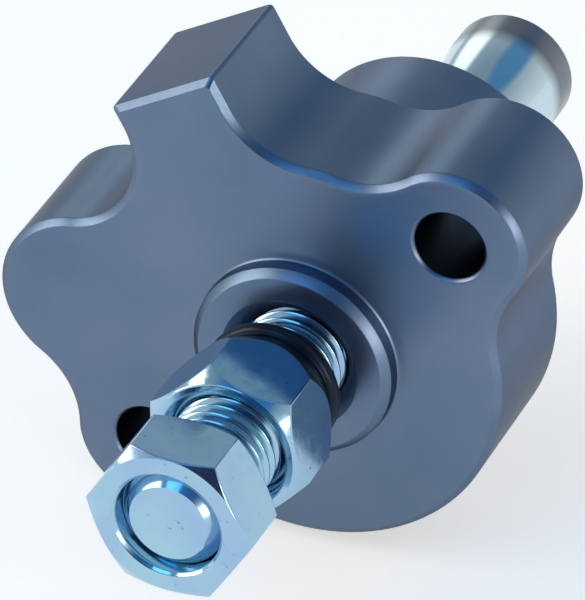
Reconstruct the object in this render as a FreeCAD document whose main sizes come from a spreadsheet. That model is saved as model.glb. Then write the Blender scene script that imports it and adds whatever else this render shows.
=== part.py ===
import FreeCAD, Part
import math
import os
import re

import Sketcher

# Manual cam chain tensioner: a one-piece billet body with a flange and a barrel,
# a long adjuster stud screwed through it, a nut fixed on the stud's front end, a lock nut,
# a sealing ring under the lock nut and a foot that swivels on the stud's rear end.
#
# Frame: Y runs along the barrel, towards the foot. Z is up. The origin is on the barrel's
# axis, in the rear face of the flange, which is the face that seats on the engine.
# Angles are in the XZ plane, from +X towards +Z, as seen from the nut's end.

SIZES = [
    # Flange of the body
    ("plate_thick", 14.5, "flange thickness"),
    ("disc_rad", 19.6, "round part of the flange"),
    ("bolt_hole_rad", 3.35, "clearance hole for an M6 bolt"),
    ("right_ear_reach", 20.8, "right bolt hole from the axis"),
    ("right_ear_deg", 45.9, "direction of the right bolt ear"),
    ("left_ear_reach", 20.2, "left bolt hole from the axis"),
    ("left_ear_deg", 222.3, "direction of the left bolt ear"),
    ("ear_rad", 7.3, "rounding of the bolt ears"),
    ("lobe_rad", 8.4, "rounding of the plain lobe"),
    ("lobe_reach", 21.4, "centre of the lobe's rounding from the axis"),
    ("lobe_deg", 179.7, "direction of the lobe"),
    ("arm_deg", 119.2, "direction of the square arm"),
    ("arm_straight", 2.23, "straight left side of the arm, out to its flat end"),
    ("arm_half_width", 5.65, "half the arm's width"),
    ("valley_rad", 8.5, "hollow corners where the disc meets the ears and the arm"),
    ("upper_valley_rad", 7.5, "hollow corner between the arm and the lobe"),
    ("lower_valley_rad", 8.3, "hollow corner between the lobe and the left ear"),
    ("front_bevel", 0.6, "bevel round the flange's front face"),
    ("edge_break", 0.3, "small bevel on the other edges"),
    # Boss and barrel of the body
    ("boss_rad", 9.7, "boss on the front face"),
    ("boss_height", 2.2, "boss above the front face"),
    ("boss_bevel", 0.75, "bevel on the boss's rim"),
    ("boss_root", 0.5, "slope at the foot of the boss"),
    ("barrel_rad", 12.95, "barrel that enters the engine"),
    ("barrel_length", 18.4, "barrel behind the flange"),
    ("barrel_bevel", 0.8, "lead on the barrel's end"),
    ("seat_mouth_rad", 6.65, "mouth of the countersink that the sealing ring is pressed into"),
    ("seat_deg", 45.0, "slope of the countersink"),
    ("foot_pocket_depth", 9.0, "pocket in the barrel's end that the foot draws into"),
    ("foot_pocket_gap", 0.35, "radial gap between the foot and its pocket"),
    # Adjuster stud
    ("stud_rad", 5.0, "M10 thread, outside"),
    ("thread_gap", 0.05, "radial gap between the stud and a thread that it turns in"),
    ("stud_length", 71.3, "stud without its nose"),
    ("stud_shoulder", 27.6, "stud's rear shoulder behind the mounting face"),
    ("stud_bevel", 1.3, "bevel on the stud's front end"),
    ("shoulder_bevel", 0.5, "bevel on the stud's shoulder"),
    ("nose_rad", 3.0, "plain nose that the foot turns on"),
    ("nose_length", 7.6, "nose behind the shoulder"),
    ("nose_groove_depth", 0.5, "groove for the clip, in the nose and in the foot"),
    ("nose_groove_width", 1.0, "width of the clip's grooves"),
    ("nose_groove_place", 4.4, "middle of the clip's grooves behind the shoulder"),
    # Clip
    ("clip_wire", 0.8, "square wire of the clip"),
    ("clip_opening_deg", 40.0, "opening of the clip"),
    # Foot
    ("foot_length", 11.8, "foot, front to rear"),
    ("foot_front_rad", 5.0, "foot at its front"),
    ("foot_rad", 6.1, "foot at its widest"),
    ("foot_land", 2.0, "straight wall where the foot is widest"),
    ("foot_crown", 0.6, "height of the foot's domed end"),
    ("foot_edge", 0.5, "rounding between the foot's wall and its dome"),
    ("swivel_gap", 0.05, "gap between the nose and the foot, round and endways"),
    ("foot_bore_spare", 0.3, "foot's bore beyond the nose"),
    # Nuts
    ("nut_flats", 14.0, "across the flats of both nuts"),
    ("nut_mouth_rad", 5.35, "countersink at the mouths of the end nut and of the lock nut's cone"),
    ("lock_nut_mouth_rad", 6.1, "wider countersink in the lock nut's front face"),
    ("end_nut_thick", 6.6, "nut fixed on the stud's end"),
    ("end_nut_overhang", 0.4, "end nut's face ahead of the stud's end"),
    ("end_nut_face_rad", 6.85, "flat ring of the end nut's faces"),
    ("end_nut_bevel_deg", 33.0, "slope of the end nut's corner bevels"),
    ("end_nut_turn_deg", 57.3, "direction of one corner of the end nut"),
    ("end_nut_grip", 0.01, "radial gap of the end nut, which is bonded on its thread"),
    ("lock_nut_thick", 10.3, "lock nut, cone and all"),
    ("lock_nut_face_rad", 6.8, "flat ring of the lock nut's front face"),
    ("lock_nut_bevel_deg", 50.0, "slope of the lock nut's front bevel"),
    ("lock_nut_seat_rad", 5.85, "flat ring at the end of the lock nut's cone"),
    ("lock_nut_seat_deg", 63.0, "slope of the lock nut's rear cone"),
    ("lock_nut_turn_deg", 43.3, "direction of one corner of the lock nut"),
    ("lock_nut_stand_off", 4.6, "lock nut's rear face ahead of the boss"),
    # Sealing ring
    ("seal_wire_rad", 0.75, "section of the sealing ring"),
    ("seal_gap", 0.05, "ring to stud, and ring to lock nut"),
]

# Two small round forms are drawn in flat steps, to keep their surfaces light
SEAL_SIDES = 8
FOOT_EDGE_STEPS = 4

doc = FreeCAD.newDocument("cam_chain_tensioner")
sheet = doc.addObject("Spreadsheet::Sheet", "Sizes")
for row, (alias, number, meaning) in enumerate(SIZES, start=1):
    sheet.set(f"A{row}", meaning)
    sheet.set(f"B{row}", str(number))
    sheet.setAlias(f"B{row}", alias)
doc.recompute()


def size(alias):
    """Value of one cell, in millimetres or degrees."""
    return float(sheet.get(alias))


def named(text):
    """The expression with every size's alias pointed at the sheet."""
    aliases = {alias for alias, _, _ in SIZES}
    return re.sub(r"[a-z_]+", lambda word: "Sizes." + word[0] if word[0] in aliases else word[0], text)


# Places along the axis, each an expression of the sizes

FRONT_FACE = "- plate_thick"
BOSS_TOP = "- plate_thick - boss_height"
POCKET_FLOOR = "barrel_length - foot_pocket_depth"
STUD_FRONT = "stud_shoulder - stud_length"
END_NUT_FRONT = STUD_FRONT + " - end_nut_overhang"
LOCK_NUT_REAR = BOSS_TOP + " - lock_nut_stand_off"
LOCK_NUT_FRONT = LOCK_NUT_REAR + " - lock_nut_thick"
FOOT_FRONT = "stud_shoulder + swivel_gap"


def new_body(name, label):
    """An empty body whose label names the piece."""
    body = doc.addObject("PartDesign::Body", name)
    body.Label = label
    return body


def new_sketch(body, name, role):
    """A sketch on one of the body's own origin planes."""
    plane = [item for item in body.Origin.OriginFeatures if item.Role == role][0]
    sketch = body.newObject("Sketcher::SketchObject", name)
    sketch.AttachmentSupport = [(plane, "")]
    sketch.MapMode = "FlatFace"
    return sketch


def worth(text):
    """Number that an expression of the sizes comes to."""
    return float(sheet.evalExpression(named(text)))


def bind(sketch, kind, geometry, text):
    """Add one dimension to a sketch and tie it to the sheet."""
    index = sketch.addConstraint(Sketcher.Constraint(kind, *geometry, worth(text)))
    sketch.setExpression(f"Constraints[{index}]", named(text))


def pin_point(sketch, item, end, across, up):
    """Hold a point of the sketch at two expressions, or on an axis where one is zero."""
    x_axis, y_axis, origin = -1, -2, (-1, 1)
    if across == "0" and up == "0":
        sketch.addConstraint(Sketcher.Constraint("Coincident", item, end, *origin))
        return
    if across == "0":
        sketch.addConstraint(Sketcher.Constraint("PointOnObject", item, end, y_axis))
    else:
        bind(sketch, "DistanceX", (*origin, item, end), across)
    if up == "0":
        sketch.addConstraint(Sketcher.Constraint("PointOnObject", item, end, x_axis))
    else:
        bind(sketch, "DistanceY", (*origin, item, end), up)


def turned_profile(body, name, corners, domed=None):
    """A closed half section on the YZ plane, its corners given as (along the axis, radius).

    The side numbered domed, where there is one, is an arc about a point of the axis.
    """
    sketch = new_sketch(body, name, "YZ_Plane")
    count = len(corners)
    start = [FreeCAD.Vector(worth(along), worth(radius), 0) for along, radius in corners]
    ends = [(1, 2)] * count
    for i in range(count):
        first, last = start[i], start[(i + 1) % count]
        if i != domed:
            sketch.addGeometry(Part.LineSegment(first, last), False)
            continue
        slack = (last.x - first.x) ** 2 - (last.y - first.y) ** 2
        centre = FreeCAD.Vector(first.x + slack / (2 * (last.x - first.x)), 0, 0)
        circle = Part.Circle(centre, FreeCAD.Vector(0, 0, 1), (first - centre).Length)
        angles = [math.atan2(point.y, point.x - centre.x) for point in (last, first)]
        sketch.addGeometry(Part.ArcOfCircle(circle, *angles), False)
        ends[i] = (2, 1)
    for i in range(count):
        following = (i + 1) % count
        sketch.addConstraint(Sketcher.Constraint("Coincident", i, ends[i][1], following, ends[following][0]))
    for i, (along, radius) in enumerate(corners):
        pin_point(sketch, i, ends[i][0], along, radius)
    if domed is not None:
        sketch.addConstraint(Sketcher.Constraint("PointOnObject", domed, 3, -1))
    return sketch


def turn(body, name, kind, sketch, angle=None):
    """Revolve a half section about the barrel's axis, to add or to cut."""
    feature = body.newObject("PartDesign::" + kind, name)
    feature.Profile = sketch
    feature.ReferenceAxis = (sketch, ["H_Axis"])
    feature.Angle = 360.0
    if angle is not None:
        feature.setExpression("Angle", named(angle))
    sketch.Visibility = False
    return feature


def edges_where(feature, test):
    """Names of the edges of a feature's shape that pass a test."""
    shape = feature.Shape
    return [f"Edge{i}" for i, edge in enumerate(shape.Edges, start=1) if test(edge)]


def lies_at(edge, y):
    """True for an edge that lies wholly in the plane at this y."""
    box = edge.BoundBox
    return abs(box.YMin - y) < 1e-4 and abs(box.YMax - y) < 1e-4


def is_circle(edge, radius):
    """True for an edge that is a circle of this radius."""
    if edge.Degenerated or not isinstance(edge.Curve, Part.Circle):
        return False
    return abs(edge.Curve.Radius - radius) < 1e-4


def dress(body, name, kind, feature, test, alias):
    """Bevel or round the edges of a feature that pass a test."""
    doc.recompute()
    names = edges_where(feature, test)
    if not names:
        raise RuntimeError(f"{name} finds no edge")
    result = body.newObject("PartDesign::" + kind, name)
    result.Base = (feature, names)
    side = "Radius" if kind == "Fillet" else "Size"
    result.setExpression(side, named(alias))
    return result


# Outline of the flange, worked out from the sizes and then held by constraints

def polar(radius, degrees):
    angle = math.radians(degrees)
    return FreeCAD.Vector(radius * math.cos(angle), radius * math.sin(angle), 0)


def corner_between_circles(centre_a, rad_a, centre_b, rad_b, rad):
    """Both centres from which a hollow corner of one radius touches two circles."""
    a, b = rad_a + rad, rad_b + rad
    across = centre_b - centre_a
    span = across.Length
    along = (a * a - b * b + span * span) / (2 * span)
    rise = math.sqrt(a * a - along * along)
    unit = across / span
    side = FreeCAD.Vector(-unit.y, unit.x, 0)
    return [centre_a + unit * along + side * (rise * sign) for sign in (1, -1)]


def outline_elements():
    """Arcs and lines of the outline in turn: (kind, data), counter-clockwise from the nut's end."""
    origin = FreeCAD.Vector(0, 0, 0)
    disc, ear, lobe = size("disc_rad"), size("ear_rad"), size("lobe_rad")
    valley, upper, lower = size("valley_rad"), size("upper_valley_rad"), size("lower_valley_rad")
    right = polar(size("right_ear_reach"), size("right_ear_deg"))
    left = polar(size("left_ear_reach"), size("left_ear_deg"))
    knob = polar(size("lobe_reach"), size("lobe_deg"))
    outward = polar(1, size("arm_deg"))
    clockwise = FreeCAD.Vector(outward.y, -outward.x, 0)
    half = size("arm_half_width")

    def turn_of(point):
        return math.degrees(math.atan2(point.y, point.x)) % 360

    def beside(choices, centre, before):
        """The choice that lies before, or else after, a centre when going round the axis."""
        def offset(point):
            return (turn_of(point) - turn_of(centre) + 180) % 360 - 180
        picked = [point for point in choices if (offset(point) < 0) == before]
        return max(picked, key=lambda point: point.Length)

    beside_right = corner_between_circles(origin, disc, right, ear, valley)
    below_right = beside(beside_right, right, True)
    above_right = beside(beside_right, right, False)
    beside_left = corner_between_circles(origin, disc, left, ear, valley)
    below_left = beside(beside_left, left, False)
    lobe_to_left = max(corner_between_circles(knob, lobe, left, ear, lower), key=lambda point: point.Length)

    arm_right = clockwise * (half + valley) + outward * math.sqrt((disc + valley) ** 2 - (half + valley) ** 2)
    along_knob = knob.dot(outward)
    aside_knob = -knob.dot(clockwise)
    rise = math.sqrt((lobe + upper) ** 2 - (aside_knob - half - upper) ** 2)
    arm_left = clockwise * -(half + upper) + outward * (along_knob + rise)
    reach = along_knob + rise + size("arm_straight")

    def touch(centre_a, centre_b, rad_a):
        return centre_a + (centre_b - centre_a).normalize() * rad_a

    arm_points = [
        clockwise * half + outward * arm_right.dot(outward),
        clockwise * half + outward * reach,
        clockwise * -half + outward * reach,
        clockwise * -half + outward * arm_left.dot(outward),
    ]
    return [
        ("out", origin, disc, touch(origin, below_left, disc), touch(origin, below_right, disc)),
        ("in", below_right, valley, touch(origin, below_right, disc), touch(right, below_right, ear)),
        ("out", right, ear, touch(right, below_right, ear), touch(right, above_right, ear)),
        ("in", above_right, valley, touch(right, above_right, ear), touch(origin, above_right, disc)),
        ("out", origin, disc, touch(origin, above_right, disc), touch(origin, arm_right, disc)),
        ("in", arm_right, valley, touch(origin, arm_right, disc), arm_points[0]),
        ("line", arm_points[0], arm_points[1]),
        ("line", arm_points[1], arm_points[2]),
        ("line", arm_points[2], arm_points[3]),
        ("in", arm_left, upper, arm_points[3], touch(knob, arm_left, lobe)),
        ("out", knob, lobe, touch(knob, arm_left, lobe), touch(knob, lobe_to_left, lobe)),
        ("in", lobe_to_left, lower, touch(knob, lobe_to_left, lobe), touch(left, lobe_to_left, ear)),
        ("out", left, ear, touch(left, lobe_to_left, ear), touch(left, below_left, ear)),
        ("in", below_left, valley, touch(left, below_left, ear), touch(origin, below_left, disc)),
    ]


def outline_sketch(body):
    """The flange's outline, tangent arcs all round but for the arm's square corners."""
    sketch = new_sketch(body, "flange_outline", "XZ_Plane")
    up = FreeCAD.Vector(0, 0, 1)
    ends = []
    for element in outline_elements():
        if element[0] == "line":
            sketch.addGeometry(Part.LineSegment(element[1], element[2]), False)
            ends.append((1, 2))
            continue
        kind, centre, radius, first, last = element
        if kind == "in":
            first, last = last, first
        start = math.atan2(first.y - centre.y, first.x - centre.x)
        finish = math.atan2(last.y - centre.y, last.x - centre.x)
        if finish <= start:
            finish += 2 * math.pi
        sketch.addGeometry(Part.ArcOfCircle(Part.Circle(centre, up, radius), start, finish), False)
        ends.append((1, 2) if kind == "out" else (2, 1))
    disc_low, below_right, right, above_right, disc_top, arm_right = range(6)
    side_right, arm_end, side_left, arm_left, lobe, lobe_to_left, left, below_left = range(6, 14)
    count = len(ends)
    square = {side_right, arm_end}
    for i in range(count):
        following = (i + 1) % count
        join = "Coincident" if i in square else "Tangent"
        sketch.addConstraint(Sketcher.Constraint(join, i, ends[i][1], following, ends[following][0]))
    for item in (disc_low, disc_top):
        sketch.addConstraint(Sketcher.Constraint("Coincident", item, 3, -1, 1))
    bind(sketch, "Radius", (disc_low,), "disc_rad")
    bind(sketch, "Radius", (disc_top,), "disc_rad")
    for item in (right, left):
        bind(sketch, "Radius", (item,), "ear_rad")
    bind(sketch, "Radius", (lobe,), "lobe_rad")
    for item in (below_right, above_right, arm_right, below_left):
        bind(sketch, "Radius", (item,), "valley_rad")
    bind(sketch, "Radius", (arm_left,), "upper_valley_rad")
    bind(sketch, "Radius", (lobe_to_left,), "lower_valley_rad")
    pin_polar(sketch, right, 3, "right_ear_reach", "right_ear_deg")
    pin_polar(sketch, left, 3, "left_ear_reach", "left_ear_deg")
    pin_polar(sketch, lobe, 3, "lobe_reach", "lobe_deg")
    flat_end = sketch.Geometry[arm_end]
    tip = (flat_end.StartPoint + flat_end.EndPoint) * 0.5
    middle = sketch.addGeometry(Part.LineSegment(FreeCAD.Vector(0, 0, 0), tip), True)
    sketch.addConstraint(Sketcher.Constraint("Coincident", middle, 1, -1, 1))
    heading = sketch.addConstraint(Sketcher.Constraint("Angle", middle, math.radians(size("arm_deg"))))
    sketch.setExpression(f"Constraints[{heading}]", named("arm_deg * 1deg"))
    bind(sketch, "Distance", (side_left,), "arm_straight")
    sketch.addConstraint(Sketcher.Constraint("Symmetric", arm_end, 1, arm_end, 2, middle, 2))
    sketch.addConstraint(Sketcher.Constraint("Perpendicular", middle, arm_end))
    bind(sketch, "Distance", (arm_end,), "2 * arm_half_width")
    for item in (side_right, side_left):
        sketch.addConstraint(Sketcher.Constraint("Parallel", middle, item))
    return sketch


def pin_polar(sketch, item, end, radius, degrees):
    """Hold a point at a distance and direction from the axis."""
    pin_point(sketch, item, end, f"{radius} * cos( {degrees} * 1deg )", f"{radius} * sin( {degrees} * 1deg )")


def build_body():
    """Flange, boss and barrel, milled and turned from one billet."""
    body = new_body("TensionerBody", "tensioner_body")

    outline = outline_sketch(body)
    plate = body.newObject("PartDesign::Pad", "flange")
    plate.Profile = outline
    plate.setExpression("Length", named("plate_thick"))
    outline.Visibility = False
    front = -size("plate_thick")
    bevelled = dress(body, "front_bevel", "Chamfer", plate, lambda edge: lies_at(edge, front), "front_bevel")
    dress(body, "rear_break", "Chamfer", bevelled, lambda edge: lies_at(edge, 0), "edge_break")

    boss = turned_profile(body, "boss_section", [
        ("0", "0"),
        ("0", "boss_rad"),
        (BOSS_TOP + " + boss_bevel", "boss_rad"),
        (BOSS_TOP, "boss_rad - boss_bevel"),
        (BOSS_TOP, "0"),
    ])
    raised = turn(body, "boss", "Revolution", boss)
    dress(
        body, "boss_root", "Chamfer", raised,
        lambda edge: lies_at(edge, front) and is_circle(edge, size("boss_rad")), "boss_root")

    barrel = turned_profile(body, "barrel_section", [
        (FRONT_FACE + " / 2", "0"),
        (FRONT_FACE + " / 2", "barrel_rad"),
        ("barrel_length - barrel_bevel", "barrel_rad"),
        ("barrel_length", "barrel_rad - barrel_bevel"),
        ("barrel_length", "0"),
    ])
    turn(body, "barrel", "Revolution", barrel)

    bore = "stud_rad + thread_gap"
    pocket = "foot_rad + foot_pocket_gap"
    passage = turned_profile(body, "passage_section", [
        (BOSS_TOP, "0"),
        (BOSS_TOP, "seat_mouth_rad"),
        (BOSS_TOP + " + ( seat_mouth_rad - stud_rad - thread_gap ) * tan( seat_deg * 1deg )", bore),
        (POCKET_FLOOR, bore),
        (POCKET_FLOOR, pocket),
        ("barrel_length - edge_break", pocket),
        ("barrel_length", pocket + " + edge_break"),
        ("barrel_length", "0"),
    ])
    passage_cut = turn(body, "passage", "Groove", passage)

    holes = new_sketch(body, "bolt_hole_circles", "XZ_Plane")
    for side in ("right_ear", "left_ear"):
        centre = polar(size(side + "_reach"), size(side + "_deg"))
        circle = holes.addGeometry(Part.Circle(centre, FreeCAD.Vector(0, 0, 1), size("bolt_hole_rad")), False)
        bind(holes, "Radius", (circle,), "bolt_hole_rad")
        pin_polar(holes, circle, 3, side + "_reach", side + "_deg")
    drilled = body.newObject("PartDesign::Pocket", "bolt_holes")
    drilled.Profile = holes
    drilled.setExpression("Length", named("plate_thick"))
    drilled.Reversed = True
    holes.Visibility = False
    doc.recompute()
    before = passage_cut.Shape.Volume
    removed = 2 * math.pi * size("bolt_hole_rad") ** 2 * size("plate_thick")
    if abs(before - drilled.Shape.Volume - removed) > 0.001 * removed:
        raise RuntimeError("the bolt holes don't go through")
    dress(
        body, "bolt_hole_mouths", "Chamfer", drilled,
        lambda edge: is_circle(edge, size("bolt_hole_rad")) and (lies_at(edge, front) or lies_at(edge, 0)),
        "edge_break")
    return body


def build_stud():
    """Long threaded stud with a plain grooved nose for the foot."""
    body = new_body("AdjusterStud", "adjuster_stud")
    groove_front = "stud_shoulder + nose_groove_place - nose_groove_width / 2"
    groove_rear = "stud_shoulder + nose_groove_place + nose_groove_width / 2"
    nose_end = "stud_shoulder + nose_length"
    section = turned_profile(body, "stud_section", [
        (STUD_FRONT, "0"),
        (STUD_FRONT, "stud_rad - stud_bevel"),
        (STUD_FRONT + " + stud_bevel", "stud_rad"),
        ("stud_shoulder - shoulder_bevel", "stud_rad"),
        ("stud_shoulder", "stud_rad - shoulder_bevel"),
        ("stud_shoulder", "nose_rad"),
        (groove_front, "nose_rad"),
        (groove_front, "nose_rad - nose_groove_depth"),
        (groove_rear, "nose_rad - nose_groove_depth"),
        (groove_rear, "nose_rad"),
        (nose_end + " - edge_break", "nose_rad"),
        (nose_end, "nose_rad - edge_break"),
        (nose_end, "0"),
    ])
    turn(body, "stud", "Revolution", section)
    return body


def build_clip():
    """Open ring of square wire that holds the foot on the nose."""
    body = new_body("FootClip", "foot_clip")
    place = "stud_shoulder + nose_groove_place"
    middle = "nose_rad + swivel_gap / 2"
    section = turned_profile(body, "clip_section", [
        (place + " - clip_wire / 2", middle + " - clip_wire / 2"),
        (place + " - clip_wire / 2", middle + " + clip_wire / 2"),
        (place + " + clip_wire / 2", middle + " + clip_wire / 2"),
        (place + " + clip_wire / 2", middle + " - clip_wire / 2"),
    ])
    turn(body, "clip", "Revolution", section, "360 - clip_opening_deg")
    return body


def build_foot():
    """Flared foot with a domed end, bored from the front for the stud's nose."""
    body = new_body("Foot", "foot")
    bore = "nose_rad + swivel_gap"
    groove = bore + " + nose_groove_depth"
    bore_end = "stud_shoulder + nose_length + foot_bore_spare"
    groove_front = "stud_shoulder + nose_groove_place - nose_groove_width / 2"
    groove_rear = "stud_shoulder + nose_groove_place + nose_groove_width / 2"
    foot_rear = FOOT_FRONT + " + foot_length"
    wall_end = foot_rear + " - foot_crown - foot_edge"
    rim = []
    for i in range(FOOT_EDGE_STEPS + 1):
        angle = 90 * i / FOOT_EDGE_STEPS
        rim.append((
            f"{wall_end} + foot_edge * sin( {angle} * 1deg )",
            f"foot_rad - foot_edge + foot_edge * cos( {angle} * 1deg )"))
    front = [
        (FOOT_FRONT, bore + " + edge_break"),
        (FOOT_FRONT, "foot_front_rad - edge_break"),
        (FOOT_FRONT + " + edge_break", "foot_front_rad"),
        (wall_end + " - foot_land", "foot_rad"),
    ]
    dome = len(front) + FOOT_EDGE_STEPS
    section = turned_profile(body, "foot_section", front + rim + [
        (foot_rear, "0"),
        (bore_end, "0"),
        (bore_end, bore),
        (groove_rear, bore),
        (groove_rear, groove),
        (groove_front, groove),
        (groove_front, bore),
        (FOOT_FRONT + " + edge_break", bore),
    ], domed=dome)
    turn(body, "foot_turning", "Revolution", section)
    return body


def build_nut(
        name, label, thick, front_rad, front_deg, rear_rad, rear_deg, mouth_rad, bore_gap, place, direction):
    """Hexagon nut with bevelled corners and countersunk mouths, its front face at its own origin."""
    body = new_body(name, label)
    corner = size("nut_flats") / math.sqrt(3)
    hexagon = new_sketch(body, label + "_hexagon", "XZ_Plane")
    points = [polar(corner, 60 * i) for i in range(6)]
    for i in range(6):
        hexagon.addGeometry(Part.LineSegment(points[i], points[(i + 1) % 6]), False)
    circle = hexagon.addGeometry(Part.Circle(FreeCAD.Vector(0, 0, 0), FreeCAD.Vector(0, 0, 1), corner), True)
    hexagon.addConstraint(Sketcher.Constraint("Coincident", circle, 3, -1, 1))
    bind(hexagon, "Radius", (circle,), "nut_flats / sqrt(3)")
    for i in range(6):
        hexagon.addConstraint(Sketcher.Constraint("Coincident", i, 2, (i + 1) % 6, 1))
        hexagon.addConstraint(Sketcher.Constraint("PointOnObject", i, 1, circle))
    for i in range(1, 6):
        hexagon.addConstraint(Sketcher.Constraint("Equal", 0, i))
    hexagon.addConstraint(Sketcher.Constraint("PointOnObject", 0, 1, -1))
    block = body.newObject("PartDesign::Pad", label + "_block")
    block.Profile = hexagon
    block.setExpression("Length", named(thick))
    block.Reversed = True
    hexagon.Visibility = False

    outside = "nut_flats / sqrt(3) + edge_break"
    front = turned_profile(body, label + "_front_section", [
        ("0", front_rad),
        (f"( {outside} - {front_rad} ) * tan( {front_deg} * 1deg )", outside),
        ("0", outside),
    ])
    turn(body, label + "_front_bevel", "Groove", front)
    rear = turned_profile(body, label + "_rear_section", [
        (thick, rear_rad),
        (f"{thick} - ( {outside} - {rear_rad} ) * tan( {rear_deg} * 1deg )", outside),
        (thick, outside),
    ])
    turn(body, label + "_rear_bevel", "Groove", rear)

    bore = f"stud_rad + {bore_gap}"
    hole = turned_profile(body, label + "_bore_section", [
        ("0", "0"),
        ("0", mouth_rad),
        (f"{mouth_rad} - ( {bore} )", bore),
        (f"{thick} - nut_mouth_rad + {bore}", bore),
        (thick, "nut_mouth_rad"),
        (thick, "0"),
    ])
    turn(body, label + "_bore", "Groove", hole)
    body.Placement = FreeCAD.Placement(
        FreeCAD.Vector(0, -1, 0), FreeCAD.Rotation(FreeCAD.Vector(0, -1, 0), size(direction)))
    body.setExpression("Placement.Base.y", named(place))
    body.setExpression("Placement.Rotation.Angle", named(direction))
    return body


def build_seal():
    """Rubber ring on the stud, against the lock nut."""
    body = new_body("SealRing", "seal_ring")
    along = LOCK_NUT_REAR + " + seal_gap + seal_wire_rad"
    radius = "stud_rad + seal_gap + seal_wire_rad"
    step = 360 / SEAL_SIDES
    corners = []
    for i in range(SEAL_SIDES):
        reach = f"seal_wire_rad / cos( {step / 2} * 1deg )"
        angle = 90 - step * (i + 0.5)
        corners.append((
            f"{along} + {reach} * cos( {angle} * 1deg )",
            f"{radius} + {reach} * sin( {angle} * 1deg )"))
    turn(body, "seal", "Revolution", turned_profile(body, "seal_section", corners))
    return body


pieces = [
    build_body(),
    build_stud(),
    build_clip(),
    build_foot(),
    build_nut(
        "EndNut", "end_nut", "end_nut_thick", "end_nut_face_rad", "end_nut_bevel_deg",
        "end_nut_face_rad", "end_nut_bevel_deg", "nut_mouth_rad", "end_nut_grip",
        END_NUT_FRONT, "end_nut_turn_deg"),
    build_nut(
        "LockNut", "lock_nut", "lock_nut_thick", "lock_nut_face_rad", "lock_nut_bevel_deg",
        "lock_nut_seat_rad", "lock_nut_seat_deg", "lock_nut_mouth_rad", "thread_gap",
        LOCK_NUT_FRONT, "lock_nut_turn_deg"),
    build_seal(),
]
doc.recompute()

for item in doc.Objects:
    if "Invalid" in item.State or "Error" in item.State:
        raise RuntimeError(f"{item.Label} failed: {item.State}")
for piece in pieces:
    if piece.Shape.isNull() or not piece.Shape.isValid():
        raise RuntimeError(f"{piece.Label} has no valid shape")

os.makedirs("parts", exist_ok=True)
for piece in pieces:
    piece.Shape.exportStep(f"parts/{piece.Label}.step")
    box = piece.Shape.BoundBox
    print(
        f"{piece.Label}: {piece.Shape.Volume:.1f} mm3, {len(piece.Shape.Solids)} solid, "
        f"y {box.YMin:.2f} to {box.YMax:.2f}, x {box.XMin:.2f} to {box.XMax:.2f}, "
        f"z {box.ZMin:.2f} to {box.ZMax:.2f}")
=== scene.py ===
import math

import bmesh
import bpy
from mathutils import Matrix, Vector
from mathutils.geometry import delaunay_2d_cdt


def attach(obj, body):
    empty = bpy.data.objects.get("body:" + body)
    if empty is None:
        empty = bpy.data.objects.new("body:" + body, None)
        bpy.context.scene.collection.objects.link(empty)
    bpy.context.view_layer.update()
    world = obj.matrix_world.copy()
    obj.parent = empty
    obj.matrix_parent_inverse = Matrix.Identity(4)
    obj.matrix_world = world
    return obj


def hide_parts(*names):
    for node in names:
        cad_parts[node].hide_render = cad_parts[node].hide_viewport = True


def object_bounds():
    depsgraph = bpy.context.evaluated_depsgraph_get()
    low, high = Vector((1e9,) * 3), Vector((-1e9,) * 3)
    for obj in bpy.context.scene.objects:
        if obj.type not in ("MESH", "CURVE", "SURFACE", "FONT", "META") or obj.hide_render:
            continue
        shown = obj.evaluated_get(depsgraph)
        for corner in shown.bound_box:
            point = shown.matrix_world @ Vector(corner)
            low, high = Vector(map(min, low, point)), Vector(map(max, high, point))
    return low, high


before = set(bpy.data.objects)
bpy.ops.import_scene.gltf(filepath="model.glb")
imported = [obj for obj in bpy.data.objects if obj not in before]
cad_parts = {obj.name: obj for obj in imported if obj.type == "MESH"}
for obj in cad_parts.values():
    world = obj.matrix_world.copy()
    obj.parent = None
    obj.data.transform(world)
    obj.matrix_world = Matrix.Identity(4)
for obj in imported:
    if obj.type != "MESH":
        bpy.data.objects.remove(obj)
cad_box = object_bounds()

# Lengths are in millimetres until a mesh is made. Y runs along the barrel to the foot, Z is up,
# and angles go from +X towards +Z.
MM = 0.001


def polar(radius, degrees):
    """A point across the axis, as (X, Z)."""
    angle = math.radians(degrees)
    return Vector((radius * math.cos(angle), radius * math.sin(angle)))


# The flange's outline: the radii of its round parts and of the valleys between them, and where they are
DISC, EAR, LOBE = 19.6, 7.3, 8.4
VALLEY, UPPER_VALLEY, LOWER_VALLEY = 8.5, 7.5, 8.3
RIGHT_EAR, LEFT_EAR = polar(20.8, 45.9), polar(20.2, 222.3)
KNOB = polar(21.4, 179.7)
ARM_DEG, ARM_REACH, ARM_HALF, ARM_CORNER = 119.2, 27.7, 5.65, 0.45
OUTLINE_STEP_DEG, CORNER_STEPS = 2.5, 6
ROUND, HOLLOW = 1, -1

# The flange's thickness, its front bevel and rear edge, and the bolt holes with their broken edges
PLATE, BEVEL, BREAK = 14.5, 0.6, 0.3
HOLE_R, HOLE_BREAK = 3.35, 0.28
HOLE_SHADE = (HOLE_R + 0.02, HOLE_R + 0.16)  # painted shade inside the holes fades out between these radii

# The boss, the ring's seat in it, the bore, the foot's pocket and the barrel round it
BOSS_R, BOSS_H, BOSS_BEVEL, BOSS_ROOT = 9.7, 2.2, 0.75, 0.5
BOSS_TOP = -PLATE - BOSS_H
SEAT_R, SEAT_DEPTH, BORE_R = 6.65, 1.6, 5.05
POCKET_FRONT, POCKET_R, POCKET_ROOT = 9.4, 6.45, 0.3
BARREL_R, BARREL_L, BARREL_EDGE, BARREL_ROOT = 12.95, 18.4, 0.8, 0.15

# How far the strips along the edges reach onto the flange's two flat faces
FRONT_RIM, REAR_RIM, HOLE_RIM, BOSS_RIM, BARREL_RIM = 0.5, 0.4, 0.3, 0.9, 0.4

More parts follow.
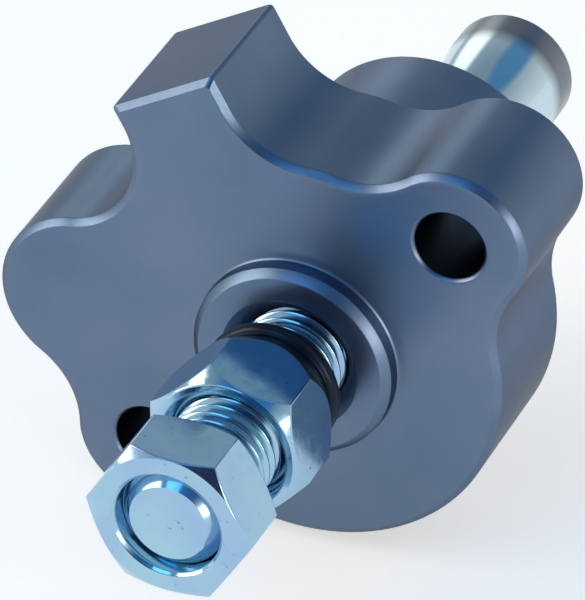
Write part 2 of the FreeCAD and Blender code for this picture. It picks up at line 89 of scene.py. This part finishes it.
# The stud: one turn of its rolled thread as (share of the pitch, radius), and its plain nose
PITCH = 1.25
STUD_R, ROOT_R = 5.0, 4.235
THREAD = [
    (0.00, STUD_R), (0.055, STUD_R - 0.004), (0.085, STUD_R - 0.04), (0.20, 4.70), (0.32, 4.39),
    (0.37, 4.29), (0.43, 4.245), (0.50, ROOT_R), (0.57, 4.245), (0.63, 4.29), (0.68, 4.39),
    (0.80, 4.70), (0.915, STUD_R - 0.04), (0.945, STUD_R - 0.004), (1.0, STUD_R)]
STUD_FRONT, SHOULDER = -43.7, 27.6
FRONT_END_R, REAR_END_R, RUN_OUT_R = 3.7, 4.2, 4.5
NOSE_R, NOSE_END, NOSE_EDGE = 3.0, 35.2, 0.3

# The clip's groove, half in the nose and half in the foot
GROOVE_FRONT, GROOVE_REAR = 31.5, 32.5
NOSE_GROOVE_R, FOOT_GROOVE_R = 2.5, 3.55

# The foot: its bowed side, its domed rear, and its bore with a drilled end
FOOT_FRONT, FOOT_REAR, FOOT_BREAK = 27.65, 39.45, 0.3
FOOT_FRONT_R, FOOT_R, FOOT_BOW_R = 5.0, 6.1, 40.0
FOOT_LAND, FOOT_EDGE, FOOT_CROWN = 2.0, 0.5, 0.6
FOOT_BORE_R, FOOT_BORE_END, FOOT_BORE_TIP = 3.05, 35.5, 37.0
FOOT_BAND = (0.0339, 0.0357)  # where its rougher band, painted dark grey as a darker reflection, begins, in metres

# The nuts' half width across flats, and the sealing ring
NUT_FLAT = 7.0
SEAL_AT, SEAL_R, SEAL_SECTION_R = -20.5, 5.8, 0.75

# How far edges are rounded that have no radius of their own
FLANGE_SOFT, HOLE_SOFT, BODY_SOFT, FOOT_SOFT, NUT_SOFT = 0.16, 0.1, 0.14, 0.12, 0.11

# A corner that turns by fewer radians isn't rounded, and a rounding takes at most this share of a side.
# It has at least this many steps, and one for every so many degrees where its radius is 1 mm or more.
STRAIGHT, SIDE_SHARE = 0.02, 0.45
FEWEST_STEPS, STEP_DEG = 3, 12


# Meshes

def around(count):
    """Equal steps round a full turn."""
    return [2 * math.pi * i / count for i in range(count)]


def soften(points, radius):
    """A polyline with its inner corners rounded. A point may carry its own radius as a third number."""
    result = [Vector(points[0][:2])]
    for before, here, after in zip(points, points[1:], points[2:]):
        own = here[2] if len(here) > 2 else radius
        a, p, b = Vector(before[:2]), Vector(here[:2]), Vector(after[:2])
        back, ahead = a - p, b - p
        turn = math.pi - back.angle(ahead)
        if own <= 0 or turn < STRAIGHT:
            result.append(p)
            continue
        reach = min(own * math.tan(turn / 2), SIDE_SHARE * back.length, SIDE_SHARE * ahead.length)
        start, end = p + back.normalized() * reach, p + ahead.normalized() * reach
        count = max(FEWEST_STEPS, int(math.degrees(turn) / STEP_DEG * min(own, 1.0)))
        for i in range(count + 1):
            t = i / count
            result.append(start * (1 - t) ** 2 + p * (2 * t * (1 - t)) + end * t ** 2)
    result.append(Vector(points[-1][:2]))
    return result


def encloses(loop, point):
    """True where a closed loop of flat points goes round a point."""
    inside = False
    for a, b in zip(loop, loop[1:] + loop[:1]):
        if (a[1] > point[1]) != (b[1] > point[1]):
            if point[0] < a[0] + (point[1] - a[1]) * (b[0] - a[0]) / (b[1] - a[1]):
                inside = not inside
    return inside


def add_object(name, data):
    obj = bpy.data.objects.new(name, data)
    bpy.context.scene.collection.objects.link(obj)
    return obj


class Shell:
    """Vertices and faces of one piece, gathered strip by strip."""

    WELD, THINNEST = 2e-7, 1e-7  # metres
    INSIDE_LOOPS, SAME_POINT = 1, 1e-7  # for the triangulation

    def __init__(self):
        self.verts = []
        self.faces = []

    def strip(self, rows, closed=True):
        """Faces between rows of equal length, joined round where closed."""
        start = len(self.verts)
        width = len(rows[0])
        for row in rows:
            self.verts.extend(row)
        for i in range(len(rows) - 1):
            for j in range(width if closed else width - 1):
                k = (j + 1) % width
                low, high = start + i * width, start + (i + 1) * width
                self.faces.append((low + j, low + k, high + k, high + j))

    def turned(self, profile, angles, centre=(0, 0)):
        """A surface of revolution round a line along Y. The profile is (along Y, radius)."""
        x, z = centre
        self.strip([
            [Vector((x + radius * math.cos(a), along, z + radius * math.sin(a))) for a in angles]
            for along, radius in profile])

    def flat(self, along, loops):
        """A flat face across Y, inside the first loop and outside the others."""
        points, edges = [], []
        for loop in loops:
            first = len(points)
            points.extend(Vector(point) for point in loop)
            edges.extend((first + i, first + (i + 1) % len(loop)) for i in range(len(loop)))
        verts, _, faces, _, _, _ = delaunay_2d_cdt(points, edges, [], self.INSIDE_LOOPS, self.SAME_POINT)
        start = len(self.verts)
        self.verts.extend(Vector((v.x, along, v.y)) for v in verts)
        for face in faces:
            middle = sum((verts[i] for i in face), Vector((0, 0))) / len(face)
            if encloses(loops[0], middle) and not any(encloses(loop, middle) for loop in loops[1:]):
                self.faces.append(tuple(start + i for i in face))

    def piece(self, name, body, material, nodes, sharp=28, bevel=None):
        """The finished object: welded, facing outwards, riding on its body. Edges over sharp degrees stay
        edges, or get a bevel."""
        bm = bmesh.new()
        made = [bm.verts.new(v * MM) for v in self.verts]
        for face in self.faces:
            corners = [made[i] for i in face]
            if len(set(corners)) == len(corners):
                bm.faces.new(corners)
        bmesh.ops.remove_doubles(bm, verts=bm.verts, dist=self.WELD)
        bmesh.ops.dissolve_degenerate(bm, dist=self.THINNEST, edges=bm.edges)
        bmesh.ops.recalc_face_normals(bm, faces=bm.faces)
        limit = math.radians(sharp)
        for edge in bm.edges:
            edge.smooth = edge.is_manifold and edge.calc_face_angle(0) < limit
        for face in bm.faces:
            face.smooth = True
        mesh = bpy.data.meshes.new(name)
        bm.to_mesh(mesh)
        bm.free()
        mesh.materials.append(material)
        obj = add_object(name, mesh)
        if bevel:
            rounding = obj.modifiers.new("rounding", "BEVEL")
            rounding.width = bevel * MM
            rounding.segments = 3
            rounding.limit_method = "ANGLE"
            rounding.angle_limit = limit
            rounding.use_clamp_overlap = True
        flats = obj.modifiers.new("flats", "WEIGHTED_NORMAL")
        flats.keep_sharp = True
        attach(obj, body)
        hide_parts(*nodes)


# Materials

class Nodes:
    """Short way to write the nodes of a material or of the world."""

    # A colour mix keeps its colours in these sockets, after those for numbers and vectors
    MIX_UNDER, MIX_OVER, MIX_OUT = 6, 7, 2

    def __init__(self, block, shader="Principled BSDF", place="Object"):
        block.use_nodes = True
        self.tree = block.node_tree
        self.shader = self.tree.nodes[shader]
        self.place = self.add("ShaderNodeTexCoord").outputs[place]

    def add(self, kind, **values):
        """A new node. Values are its properties, or with in_ before the name its inputs."""
        node = self.tree.nodes.new(kind)
        for key, value in values.items():
            if key.startswith("in_"):
                node.inputs[key[3:].replace("_", " ")].default_value = value
            else:
                setattr(node, key, value)
        return node

    def link(self, out, into):
        self.tree.links.new(out, into)

    def noise(self, scale, detail, rough, distortion=0.0):
        """Noise. The scale is per metre."""
        node = self.add(
            "ShaderNodeTexNoise", in_Scale=scale, in_Detail=detail, in_Roughness=rough,
            in_Distortion=distortion)
        self.link(self.place, node.inputs["Vector"])
        return node.outputs["Fac"]

    def ramp(self, fac, stops):
        node = self.add("ShaderNodeValToRGB")
        ramp = node.color_ramp
        while len(ramp.elements) < len(stops):
            ramp.elements.new(0.5)
        for element, (place, colour) in zip(ramp.elements, stops):
            element.position = place
            element.color = (*colour, 1.0)
        self.link(fac, node.inputs["Fac"])
        return node.outputs["Color"]

    def spread(self, fac, to, over=(0.0, 1.0), kind="LINEAR"):
        """A value taken from one range to another, and held at its ends."""
        node = self.add(
            "ShaderNodeMapRange", interpolation_type=kind,
            in_From_Min=over[0], in_From_Max=over[1], in_To_Min=to[0], in_To_Max=to[1])
        self.link(fac, node.inputs["Value"])
        return node.outputs["Result"]

    def mix(self, share, under, over):
        """One colour over another by a share. The upper one is a socket or a fixed colour."""
        node = self.add("ShaderNodeMix", data_type="RGBA")
        self.link(share, node.inputs["Factor"])
        self.link(under, node.inputs[self.MIX_UNDER])
        if isinstance(over, tuple):
            node.inputs[self.MIX_OVER].default_value = (*over, 1.0)
        else:
            self.link(over, node.inputs[self.MIX_OVER])
        return node.outputs[self.MIX_OUT]

    def vector(self, operation, out, other):
        """A vector's product with a fixed one, its distance from it or its dot product with it."""
        node = self.add("ShaderNodeVectorMath", operation=operation)
        self.link(out, node.inputs[0])
        node.inputs[1].default_value = other
        return node.outputs["Vector" if operation == "MULTIPLY" else "Value"]

    def axis(self, name):
        """One coordinate of the place."""
        node = self.add("ShaderNodeSeparateXYZ")
        self.link(self.place, node.inputs[0])
        return node.outputs[name]

    def bump(self, height, strength, distance):
        node = self.add("ShaderNodeBump", in_Strength=strength, in_Distance=distance)
        self.link(height, node.inputs["Height"])
        return node.outputs["Normal"]

    def put(self, out, socket):
        self.link(out, self.shader.inputs[socket])

    def set(self, **values):
        for key, value in values.items():
            self.shader.inputs[key.replace("_", " ")].default_value = value


def anodised():
    """Satin slate-blue anodising, with painted shade darkening the inside of the bolt holes."""
    material = bpy.data.materials.new("anodised_slate")
    n = Nodes(material)
    cloud = n.noise(scale=55, detail=3, rough=0.55)
    tint = n.ramp(cloud, [(0.3, (0.118, 0.178, 0.262)), (0.7, (0.166, 0.213, 0.312))])
    across = n.vector("MULTIPLY", n.place, (1, 0, 1))
    # Painted shade: inside each bolt hole the colour is mixed towards near black, for the shade that falls
    # there.
    for hole in (RIGHT_EAR, LEFT_EAR):
        away = n.vector("DISTANCE", across, (hole.x * MM, 0, hole.y * MM))
        inside = n.spread(away, to=(1.0, 0.0), over=(HOLE_SHADE[0] * MM, HOLE_SHADE[1] * MM))
        tint = n.mix(inside, tint, (0.040, 0.052, 0.072))
    n.put(tint, "Base Color")
    grain = n.noise(scale=2600, detail=2, rough=0.6)
    n.put(n.spread(grain, to=(0.30, 0.40)), "Roughness")
    n.put(n.bump(grain, strength=0.10, distance=0.00002), "Normal")
    n.set(Metallic=1.0, Specular_Tint=(0.58, 0.56, 0.54, 1))
    return material


def zinc(name, dark, light, rough):
    """Thin plating: clouded in tint, lightly scuffed, with a few small dark flecks."""
    material = bpy.data.materials.new(name)
    n = Nodes(material)
    cloud = n.noise(scale=120, detail=2, rough=0.45, distortion=0.4)
    tint = n.ramp(cloud, [(0.32, dark), (0.68, light)])
    fleck = n.spread(n.noise(scale=1300, detail=3, rough=0.7), to=(0.0, 0.75), over=(0.66, 0.74))
    n.put(n.mix(fleck, tint, (0.09, 0.13, 0.18)), "Base Color")
    scuff = n.noise(scale=900, detail=4, rough=0.65)
    n.put(n.spread(scuff, to=(rough, rough + 0.14), over=(0.3, 0.8)), "Roughness")
    n.put(n.bump(scuff, strength=0.12, distance=0.00003), "Normal")
    n.set(Metallic=1.0)
    return material


def foot_steel():
    """Polished steel. The band round the rear is rougher and painted dark grey, a painted darker reflection.
    """
    material = bpy.data.materials.new("polished_steel")
    n = Nodes(material)
    cloud = n.noise(scale=140, detail=4, rough=0.6)
    bright = n.ramp(cloud, [(0.3, (0.53, 0.66, 0.71)), (0.7, (0.62, 0.74, 0.78))])
    # Painted reflection: the rear band is coloured dark grey to stand for the darker surroundings it
    # reflects.
    painted_dark_reflection = n.ramp(cloud, [(0.3, (0.15, 0.17, 0.20)), (0.7, (0.20, 0.22, 0.25))])
    band = n.spread(n.axis("Y"), to=(0.0, 1.0), over=FOOT_BAND)
    n.put(n.mix(band, bright, painted_dark_reflection), "Base Color")
    n.put(n.spread(band, to=(0.07, 0.24)), "Roughness")
    scuff = n.noise(scale=900, detail=4, rough=0.65)
    n.put(n.bump(scuff, strength=0.08, distance=0.00003), "Normal")
    n.set(Metallic=1.0)
    return material


def rubber():
    """Smooth black nitrile with a faint bloom."""
    material = bpy.data.materials.new("nitrile_rubber")
    n = Nodes(material)
    bloom = n.noise(scale=400, detail=3, rough=0.6)
    n.put(n.ramp(bloom, [(0.3, (0.004, 0.006, 0.010)), (0.8, (0.010, 0.013, 0.020))]), "Base Color")
    n.put(n.spread(bloom, to=(0.20, 0.30)), "Roughness")
    grain = n.noise(scale=3000, detail=2, rough=0.5)
    n.put(n.bump(grain, strength=0.15, distance=0.00002), "Normal")
    n.set(Metallic=0.0, Specular_IOR_Level=0.3, Specular_Tint=(0.62, 0.76, 1.0, 1))
    return material


slate = anodised()
plated = zinc("zinc_plate", dark=(0.335, 0.485, 0.69), light=(0.365, 0.585, 0.69), rough=0.07)
plated_stud = zinc("zinc_thread", dark=(0.33, 0.49, 0.69), light=(0.365, 0.585, 0.69), rough=0.10)
wire = zinc("spring_wire", dark=(0.25, 0.25, 0.26), light=(0.34, 0.34, 0.35), rough=0.25)
polished = foot_steel()
black = rubber()


# The body: flange, boss and barrel

def tangent_centres(a, rad_a, b, rad_b, rad):
    """Centres of the circles of one radius that touch two others from outside."""
    one, two = rad_a + rad, rad_b + rad
    across = b - a
    span = across.length
    along = (one * one - two * two + span * span) / (2 * span)
    rise = math.sqrt(one * one - along * along)
    unit = across / span
    side = Vector((-unit.y, unit.x))
    return [a + unit * along + side * rise, a + unit * along - side * rise]


def arc(centre, radius, first, last, sense, with_last=False):
    """Points of the outline round a circle, each with the direction that leads straight inwards. The
    last one is left to what follows, unless that is a straight line."""
    start = math.atan2(first.y - centre.y, first.x - centre.x)
    finish = math.atan2(last.y - centre.y, last.x - centre.x)
    sweep = (finish - start) % (2 * math.pi) if sense == ROUND else -((start - finish) % (2 * math.pi))
    count = max(4, int(abs(math.degrees(sweep)) / OUTLINE_STEP_DEG))
    angles = [start + sweep * i / count for i in range(count + with_last)]
    spokes = [Vector((math.cos(angle), math.sin(angle))) for angle in angles]
    return [(centre + spoke * radius, spoke * -sense) for spoke in spokes]


def corner(tip, before, after):
    """The same round a square corner, from one side's outward direction to the next one's."""
    inward = -(before + after)
    turns = [math.pi / 2 * i / CORNER_STEPS for i in range(CORNER_STEPS + 1)]
    spokes = [before * math.cos(turn) + after * math.sin(turn) for turn in turns]
    return [(tip + (inward + spoke) * ARM_CORNER, inward) for spoke in spokes]


def flange_outline():
    """Points all round the flange, each with the direction that leads straight inwards."""
    origin = Vector((0, 0))
    outward = polar(1, ARM_DEG)
    clockwise = Vector((outward.y, -outward.x))

    def past(centre, point):
        return centre.x * point.y - centre.y * point.x > 0

    def by_arm(across, along):
        return clockwise * across + outward * along

    def touch(a, b, rad):
        return a + (b - a).normalized() * rad

    below, above = sorted(
        tangent_centres(origin, DISC, RIGHT_EAR, EAR, VALLEY), key=lambda c: past(RIGHT_EAR, c))
    left = [c for c in tangent_centres(origin, DISC, LEFT_EAR, EAR, VALLEY) if past(LEFT_EAR, c)][0]
    lower = max(tangent_centres(KNOB, LOBE, LEFT_EAR, EAR, LOWER_VALLEY), key=lambda c: c.length)
    offset = ARM_HALF + VALLEY
    arm_right = by_arm(offset, math.sqrt((DISC + VALLEY) ** 2 - offset ** 2))
    aside = ARM_HALF + UPPER_VALLEY
    rise = math.sqrt((LOBE + UPPER_VALLEY) ** 2 - (-KNOB.dot(clockwise) - aside) ** 2)
    arm_left = by_arm(-aside, KNOB.dot(outward) + rise)
    root_right = by_arm(ARM_HALF, arm_right.dot(outward))
    root_left = by_arm(-ARM_HALF, arm_left.dot(outward))
    return [
        *arc(origin, DISC, touch(origin, left, DISC), touch(origin, below, DISC), ROUND),
        *arc(below, VALLEY, touch(origin, below, DISC), touch(RIGHT_EAR, below, EAR), HOLLOW),
        *arc(RIGHT_EAR, EAR, touch(RIGHT_EAR, below, EAR), touch(RIGHT_EAR, above, EAR), ROUND),
        *arc(above, VALLEY, touch(RIGHT_EAR, above, EAR), touch(origin, above, DISC), HOLLOW),
        *arc(origin, DISC, touch(origin, above, DISC), touch(origin, arm_right, DISC), ROUND),
        *arc(arm_right, VALLEY, touch(origin, arm_right, DISC), root_right, HOLLOW, with_last=True),
        *corner(by_arm(ARM_HALF, ARM_REACH), clockwise, outward),
        *corner(by_arm(-ARM_HALF, ARM_REACH), outward, -clockwise),
        *arc(arm_left, UPPER_VALLEY, root_left, touch(KNOB, arm_left, LOBE), HOLLOW),
        *arc(KNOB, LOBE, touch(KNOB, arm_left, LOBE), touch(KNOB, lower, LOBE), ROUND),
        *arc(lower, LOWER_VALLEY, touch(KNOB, lower, LOBE), touch(LEFT_EAR, lower, EAR), HOLLOW),
        *arc(LEFT_EAR, EAR, touch(LEFT_EAR, lower, EAR), touch(LEFT_EAR, left, EAR), ROUND),
        *arc(left, VALLEY, touch(LEFT_EAR, left, EAR), touch(origin, left, DISC), HOLLOW)]


def build_body():
    shell = Shell()
    outline = flange_outline()
    turns, hole_turns = around(192), around(72)
    holes = (RIGHT_EAR, LEFT_EAR)
    hole_mouth = HOLE_R + HOLE_BREAK
    hole_rim = hole_mouth + HOLE_RIM

    def inset(inward):
        return [(p.x + n.x * inward, p.y + n.y * inward) for p, n in outline]

    def circle(radius, angles, centre=(0, 0)):
        x, z = centre
        return [(x + radius * math.cos(a), z + radius * math.sin(a)) for a in angles]

    edge = soften([
        (BEVEL + FRONT_RIM, -PLATE, 0), (BEVEL, -PLATE), (0, BEVEL - PLATE), (0, -BREAK), (BREAK, 0),
        (BREAK + REAR_RIM, 0, 0)], FLANGE_SOFT)
    shell.strip([[Vector((x, along, z)) for x, z in inset(inward)] for inward, along in edge])
    hole_loops = [circle(hole_rim, hole_turns, hole) for hole in holes]
    shell.flat(-PLATE, [inset(BEVEL + FRONT_RIM), circle(BOSS_R + BOSS_RIM, turns), *hole_loops])
    shell.flat(0, [inset(BREAK + REAR_RIM), circle(BARREL_R + BARREL_RIM, turns), *hole_loops])
    hole_profile = soften([
        (-PLATE, hole_rim), (-PLATE, hole_mouth), (HOLE_BREAK - PLATE, HOLE_R),
        (-HOLE_BREAK, HOLE_R), (0, hole_mouth), (0, hole_rim)], HOLE_SOFT)
    for hole in holes:
        shell.turned(hole_profile, hole_turns, hole)
    shell.turned(soften([
        (-PLATE, BOSS_R + BOSS_RIM), (-PLATE, BOSS_R, BOSS_ROOT), (BOSS_TOP + BOSS_BEVEL, BOSS_R),
        (BOSS_TOP, BOSS_R - BOSS_BEVEL), (BOSS_TOP, SEAT_R), (BOSS_TOP + SEAT_DEPTH, BORE_R),
        (POCKET_FRONT, BORE_R), (POCKET_FRONT, POCKET_R, POCKET_ROOT), (BARREL_L - BREAK, POCKET_R),
        (BARREL_L, POCKET_R + BREAK), (BARREL_L, BARREL_R - BARREL_EDGE), (BARREL_L - BARREL_EDGE, BARREL_R),
        (0, BARREL_R, BARREL_ROOT), (0, BARREL_R + BARREL_RIM)], BODY_SOFT), turns)
    shell.piece("billet", "body", slate, ["tensioner_body"])


# The stud, the nuts, the foot and the ring

def build_stud():
    """The thread is one strip that winds from before the front end to past the shoulder. It is cut off
    flat at both and tapered there."""
    shell = Shell()
    steps = 72
    turns = int((SHOULDER - STUD_FRONT) / PITCH) + 3
    first = STUD_FRONT - 1.5 * PITCH
    rows = []
    for step in range(turns * steps + 1):
        angle = 2 * math.pi * step / steps
        row = []
        for share, radius in THREAD:
            along = first + PITCH * (step / steps + share)
            if along <= STUD_FRONT:
                along, radius = STUD_FRONT, FRONT_END_R
            elif along >= SHOULDER:
                along, radius = SHOULDER, REAR_END_R
            radius = min(radius, FRONT_END_R + (along - STUD_FRONT), RUN_OUT_R + (SHOULDER - along))
            row.append(Vector((radius * math.sin(angle), along, radius * math.cos(angle))))
        rows.append(row)
    shell.strip(rows, closed=False)
    spokes = [math.pi / 2 - a for a in around(steps)]  # in line with the thread's steps
    shell.turned([(STUD_FRONT, radius) for radius in (FRONT_END_R, 2.0, 0.0)], spokes)
    shell.turned([
        (SHOULDER, REAR_END_R), (SHOULDER, NOSE_R), (GROOVE_FRONT, NOSE_R), (GROOVE_FRONT, NOSE_GROOVE_R),
        (GROOVE_REAR, NOSE_GROOVE_R), (GROOVE_REAR, NOSE_R), (NOSE_END - NOSE_EDGE, NOSE_R),
        (NOSE_END, NOSE_R - NOSE_EDGE), (NOSE_END, 0.0)], spokes)
    shell.piece("threaded_stud", "stud", plated_stud, ["adjuster_stud"], sharp=40)


def build_nut(name, node, body, front, thick, corner_deg, bore, face, face_deg, face_mouth,
              seat, seat_deg, seat_mouth):
    """A hexagon nut. Face and seat are the radii of its flat ends, front and rear. Outside them the
    corners fall away at an angle, and inside them the bore has a mouth."""
    shell = Shell()
    steps = 16
    rise, fall = math.tan(math.radians(face_deg)), math.tan(math.radians(seat_deg))
    columns = []
    for side in range(6):
        for i in range(steps):
            off = -30 + 60 * i / steps
            angle = math.radians(corner_deg + 30 + 60 * side + off)
            reach = NUT_FLAT / math.cos(math.radians(off))
            profile = [
                (bore, thick / 2), (bore, face_mouth - bore), (face_mouth, 0), (face, 0),
                ((face + reach) / 2, (reach - face) / 2 * rise), (reach, (reach - face) * rise),
                (reach, thick - (reach - seat) * fall),
                ((seat + reach) / 2, thick - (reach - seat) / 2 * fall),
                (seat, thick), (seat_mouth, thick), (bore, thick - (seat_mouth - bore)), (bore, thick / 2)]
            columns.append([
                Vector((radius * math.cos(angle), front + depth, radius * math.sin(angle)))
                for radius, depth in profile])
    shell.strip(list(zip(*columns)))
    shell.piece(name, body, plated, [node], sharp=24, bevel=NUT_SOFT)


def bow(first, last, radius):
    """Points of an arc from one corner to another, bulging away from the axis."""
    first, last = Vector(first), Vector(last)
    chord = last - first
    rise = math.sqrt(radius ** 2 - (chord.length / 2) ** 2)
    centre = (first + last) / 2 + Vector((chord.y, -chord.x)).normalized() * rise
    start = math.atan2(first.y - centre.y, first.x - centre.x)
    finish = math.atan2(last.y - centre.y, last.x - centre.x)
    steps = 10
    angles = [start + (finish - start) * i / steps for i in range(steps + 1)]
    return [(centre.x + radius * math.cos(a), centre.y + radius * math.sin(a), 0) for a in angles]


def build_foot():
    shell = Shell()
    turns = around(128)
    rim_r = FOOT_R - FOOT_EDGE
    wall_end = FOOT_REAR - FOOT_CROWN - FOOT_EDGE
    side = bow((FOOT_FRONT + FOOT_BREAK, FOOT_FRONT_R), (wall_end - FOOT_LAND, FOOT_R), FOOT_BOW_R)
    rim = bow((wall_end, FOOT_R), (FOOT_REAR - FOOT_CROWN, rim_r), FOOT_EDGE)
    sphere = (rim_r ** 2 + FOOT_CROWN ** 2) / (2 * FOOT_CROWN)
    steps = 8
    dome_radii = [rim_r * (1 - i / steps) for i in range(1, steps + 1)]
    dome = [(FOOT_REAR - sphere + math.sqrt(sphere * sphere - r * r), r, 0) for r in dome_radii]
    shell.turned(soften([
        (GROOVE_FRONT, FOOT_BORE_R), (FOOT_FRONT + FOOT_BREAK, FOOT_BORE_R),
        (FOOT_FRONT, FOOT_BORE_R + FOOT_BREAK), (FOOT_FRONT, FOOT_FRONT_R - FOOT_BREAK),
        *side, *rim, *dome], FOOT_SOFT), turns)
    shell.turned([
        (GROOVE_FRONT, FOOT_BORE_R), (GROOVE_FRONT, FOOT_GROOVE_R), (GROOVE_REAR, FOOT_GROOVE_R),
        (GROOVE_REAR, FOOT_BORE_R), (FOOT_BORE_END, FOOT_BORE_R), (FOOT_BORE_TIP, 0.0)], turns)
    shell.piece("swivel_foot", "foot", polished, ["foot"])


def build_seal():
    shell = Shell()
    section = [
        (SEAL_AT + SEAL_SECTION_R * math.cos(a), SEAL_R + SEAL_SECTION_R * math.sin(a))
        for a in [*around(32), 2 * math.pi]]
    shell.turned(section, around(144))
    shell.piece("ring_seal", "seal", black, ["seal_ring"], sharp=60)


build_body()
build_stud()
build_nut("end_nut_hex", "end_nut", "stud", front=-44.1, thick=6.6, corner_deg=57.3, bore=5.01,
          face=6.85, face_deg=33, face_mouth=5.35, seat=6.85, seat_deg=33, seat_mouth=5.35)
build_nut("lock_nut_hex", "lock_nut", "lock_nut", front=-31.6, thick=10.3, corner_deg=43.3, bore=5.05,
          face=6.8, face_deg=50, face_mouth=6.1, seat=5.85, seat_deg=63, seat_mouth=5.35)
build_foot()
build_seal()
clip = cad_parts["foot_clip"]
clip.data.materials.clear()
clip.data.materials.append(wire)


# Camera, surroundings, floor and lamps, in metres

CAMERA_AT, CAMERA_WAY = (0.20742, -0.50530, 0.35614), (-0.32599, 0.76926, -0.54957)
LENS, SENSOR = 425.0, 36.0
FLOOR_HALF, FLOOR_GLOW = 4.0, 0.52
WARM, BLUE = (1.0, 0.90, 0.78), (0.22, 0.62, 1.0)


def aim(obj, direction):
    obj.rotation_euler = Vector(direction).to_track_quat("-Z", "Y").to_euler()


def set_camera():
    """The photograph's view."""
    lens = bpy.data.cameras.new("camera")
    lens.lens = LENS
    lens.sensor_width = SENSOR
    camera = add_object("camera", lens)
    camera.location = CAMERA_AT
    aim(camera, CAMERA_WAY)
    bpy.context.scene.camera = camera


def studio_world():
    """Plain surroundings, pale up to the horizon and darker above it, with a few soft-edged parts of
    their own tone."""
    world = bpy.data.worlds.new("studio")
    bpy.context.scene.world = world
    n = Nodes(world, "Background", "Generated")
    colour = n.ramp(n.axis("Z"), [
        (0.0, (0.80, 0.83, 0.86)), (0.35, (0.58, 0.64, 0.69)), (0.80, (0.28, 0.36, 0.43))])
    # Each part's direction, the cosines of the angles from it to the part's edge and core, and its tone
    for towards, edge, core, tone in [
            ((0.12, -0.64, 0.76), 0.74, 0.92, (0.05, 0.23, 0.53)),  # blue over the camera
            ((0.26, -0.90, 0.36), 0.90, 0.965, (0.04, 0.05, 0.10)),  # dark just below the camera
            ((0.28, 0.60, 0.74), 0.925, 0.975, (0.10, 0.26, 0.46)),  # blue high behind
            ((-0.72, 0.69, -0.04), 0.930, 0.980, (0.56, 0.60, 0.64)),  # grey behind on the left
            ((-0.62, 0.67, 0.40), 0.948, 0.987, (1.55, 1.58, 1.50))]:  # bright above the grey one
        facing = n.vector("DOT_PRODUCT", n.place, towards)
        share = n.spread(facing, to=(0.0, 1.0), over=(edge, core), kind="SMOOTHSTEP")
        colour = n.mix(share, colour, tone)
    n.put(colour, "Color")
    n.set(Strength=1.0)


def paper():
    """Matt pale paper that glows only for camera, glossy and transmission rays, so that it looks white
    and puts no more light on the object."""
    material = bpy.data.materials.new("paper")
    n = Nodes(material)
    n.set(Roughness=0.9, Base_Color=(0.86, 0.84, 0.81, 1), Emission_Color=(1, 0.95, 0.89, 1))
    path = n.add("ShaderNodeLightPath")
    seen = path.outputs["Is Camera Ray"]
    for ray in ("Is Glossy Ray", "Is Transmission Ray"):
        either = n.add("ShaderNodeMath", operation="MAXIMUM")
        n.link(seen, either.inputs[0])
        n.link(path.outputs[ray], either.inputs[1])
        seen = either.outputs[0]
    n.put(n.spread(seen, to=(0.0, FLOOR_GLOW)), "Emission Strength")
    return material


def lay_floor():
    """A plain floor under the lowest point of the solids."""
    mesh = bpy.data.meshes.new("floor")
    low, half = cad_box[0][2], FLOOR_HALF
    corners = [(-half, -half, low), (half, -half, low), (half, half, low), (-half, half, low)]
    mesh.from_pydata(corners, [], [(0, 1, 2, 3)])
    mesh.materials.append(paper())
    floor = add_object("floor", mesh)


def softbox(name, at, size, watts, colour):
    """A rectangular lamp that faces the origin."""
    data = bpy.data.lights.new(name, "AREA")
    data.shape = "RECTANGLE"
    data.size, data.size_y = size
    data.energy = watts
    data.color = colour
    obj = add_object(name, data)
    obj.location = at
    aim(obj, -Vector(at))


set_camera()
studio_world()
lay_floor()
softbox("left", at=(-0.64, -0.36, 0.31), size=(0.34, 0.54), watts=2.3, colour=WARM)
softbox("right", at=(0.60, -0.42, 0.10), size=(0.16, 0.30), watts=1.0, colour=WARM)
softbox("overhead", at=(-0.16, -0.58, 0.55), size=(0.36, 0.26), watts=0.62, colour=BLUE)

bpy.context.scene.view_settings.view_transform = "Standard"
